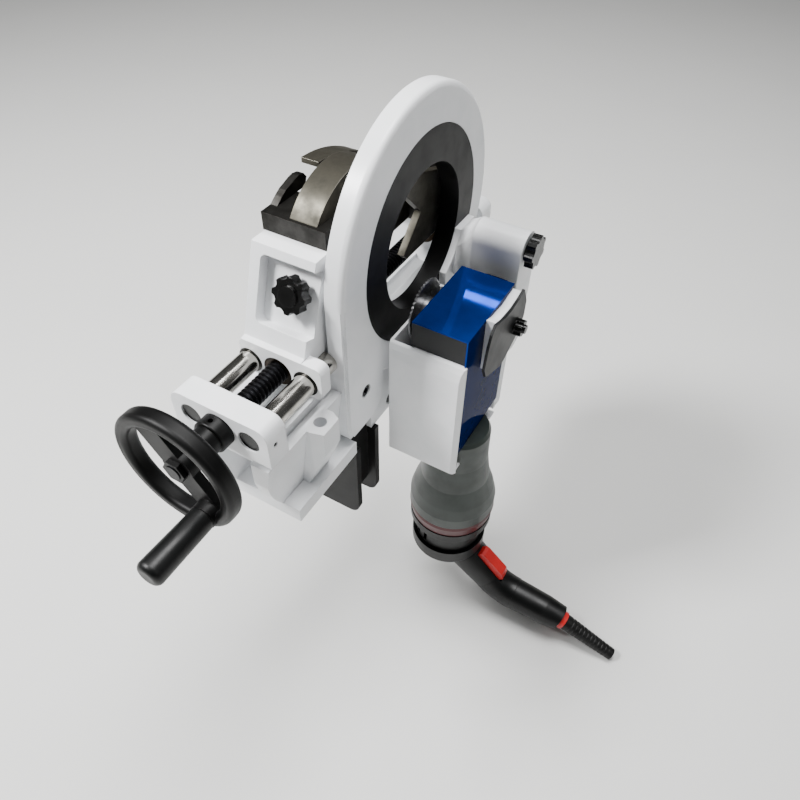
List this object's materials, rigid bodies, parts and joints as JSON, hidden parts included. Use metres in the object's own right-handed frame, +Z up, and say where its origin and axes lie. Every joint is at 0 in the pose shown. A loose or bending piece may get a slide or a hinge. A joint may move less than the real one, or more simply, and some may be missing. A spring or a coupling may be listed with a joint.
{
  "type": "portable pipe cutting machine",
  "caption": "Pipe cutting machine: a hand-wheel vise with claw jaws holds the pipe while a motor-driven saw head on a ring bearing orbits round it.",
  "frame": {"origin": "on the pipe axis, in the front face of the ring plate", "axes": "+X along the pipe axis towards the saw head, +Y from the hand wheel towards the rear, +Z up"},
  "size_m": [0.459, 0.5759, 0.6967],
  "materials": {
    "white_paint": "glossy white paint on rough castings",
    "black_steel": "satin black",
    "bright_steel": "ground",
    "dark_steel": "blackened",
    "bronze": "turned",
    "claw_steel": "ground and oiled",
    "housing_iron": "dark",
    "blue_paint": "glossy",
    "motor_shell": "fine grain",
    "red_band": "satin",
    "bright_red": "glossy",
    "black_plastic": "fine grain",
    "black_rubber": "soft",
    "winding": "lacquered wire on steel sheets"
  },
  "bodies": {
    "frame": {"base_casting": "white_paint", "guide_rods": "bright_steel", "rod_screws": "dark_steel", "screw_bushes": "bronze", "ring_plate": "white_paint", "ring_bolts": "dark_steel", "bearing_outer": "bright_steel", "bearing_balls": "bright_steel", "bearing_retainer": "dark_steel", "bench_bracket": "black_steel", "bracket_bolts": "dark_steel"},
    "carriage": {"carriage": "white_paint", "carriage_bushes": "dark_steel", "lead_nut": "bronze", "jaw_block": "dark_steel", "claw_main": "claw_steel", "claw_side": "dark_steel", "jaw_bolts": "dark_steel"},
    "far_carriage": {"far_carriage": "white_paint", "far_nut": "bronze", "far_jaw_block": "dark_steel", "far_claws": "claw_steel", "far_jaw_bolts": "dark_steel"},
    "screw": {"lead_screw": "dark_steel", "thrust_collar": "black_steel", "handwheel": "black_steel", "wheel_nut": "dark_steel", "grip_pin": "bright_steel"},
    "crank_grip": {"crank_grip": "black_plastic"},
    "star_knob": {"star_knob": "black_plastic"},
    "rotor": {"rotor_disc": "black_steel", "bearing_inner": "bright_steel", "circlip": "bright_steel", "pivot_bracket": "white_paint", "pivot_shaft": "bright_steel"},
    "pivot_knob": {"pivot_knob": "black_plastic"},
    "lock_knob": {"lock_knob": "black_plastic"},
    "head": {"gear_housing": "housing_iron", "front_cover": "white_paint", "blade_guard": "blue_paint", "side_plate": "white_paint", "plate_cover": "housing_iron", "arbor_bearings": "bright_steel", "motor_case": "motor_shell", "motor_band": "red_band", "rear_housing": "black_plastic", "motor_handle": "black_plastic", "handle_ring": "bright_red", "cord_sleeve": "black_rubber", "stator": "winding", "motor_bearings": "bright_steel", "switch_pin": "bright_steel"},
    "armature": {"armature": "bright_steel", "cooling_fan": "black_plastic"},
    "blade": {"blade_arbor": "bright_steel", "crown_gear": "bright_steel", "saw_blade": "bright_steel", "blade_nut": "dark_steel"},
    "paddle": {"paddle_switch": "bright_red"}
  },
  "joints": [
    {"name": "carriage_slide", "type": "slide", "parent": "frame", "child": "carriage", "axis": [0, 1, 0], "range_m": [-0.03, 0.0215]},
    {"name": "far_carriage_slide", "type": "slide", "parent": "frame", "child": "far_carriage", "axis": [0, 1, 0], "range_m": [-0.0215, 0.03]},
    {"name": "screw_turn", "type": "hinge", "parent": "frame", "child": "screw", "pos_m": [-0.054, -0.3, -0.062], "axis": [0, 1, 0], "continuous": true},
    {"name": "crank_grip_spin", "type": "hinge", "parent": "screw", "child": "crank_grip", "pos_m": [-0.02733, -0.36, -0.10009], "axis": [0, 1, 0], "continuous": true},
    {"name": "star_knob_turn", "type": "hinge", "parent": "carriage", "child": "star_knob", "pos_m": [-0.047, -0.15275, 0.01109], "axis": [0, -0.9455, 0.3256], "continuous": true},
    {"name": "rotor_orbit", "type": "hinge", "parent": "frame", "child": "rotor", "pos_m": [0, 0, 0], "axis": [1, 0, 0], "continuous": true},
    {"name": "pivot_knob_turn", "type": "hinge", "parent": "rotor", "child": "pivot_knob", "pos_m": [0.098, 0.058, -0.015], "axis": [1, 0, 0], "continuous": true},
    {"name": "lock_knob_turn", "type": "hinge", "parent": "head", "child": "lock_knob", "pos_m": [0.11, 0.01, -0.078], "axis": [1, 0, 0], "continuous": true},
    {"name": "head_feed", "type": "hinge", "parent": "rotor", "child": "head", "pos_m": [0.069, 0.058, -0.015], "axis": [-1, 0, 0], "range_deg": [0, 10]},
    {"name": "motor_spin", "type": "hinge", "parent": "head", "child": "armature", "pos_m": [0.0765, -0.036, -0.3], "axis": [0, 0, 1], "continuous": true},
    {"name": "blade_spin", "type": "hinge", "parent": "head", "child": "blade", "pos_m": [0.022, -0.036, -0.059], "axis": [1, 0, 0], "continuous": true},
    {"name": "paddle_press", "type": "hinge", "parent": "head", "child": "paddle", "pos_m": [0.12966, -0.036, -0.45249], "axis": [0, 1, 0], "range_deg": [0, 6], "stiffness_Nm_per_rad": 0.6, "springref_deg": -11.46}
  ],
  "couplings": [
    {"joint": "far_carriage_slide", "follows": "carriage_slide", "ratio": -1},
    {"joint": "screw_turn", "follows": "carriage_slide", "rad_per_m": 1256.6},
    {"joint": "blade_spin", "follows": "motor_spin", "ratio": -0.5}
  ]
}
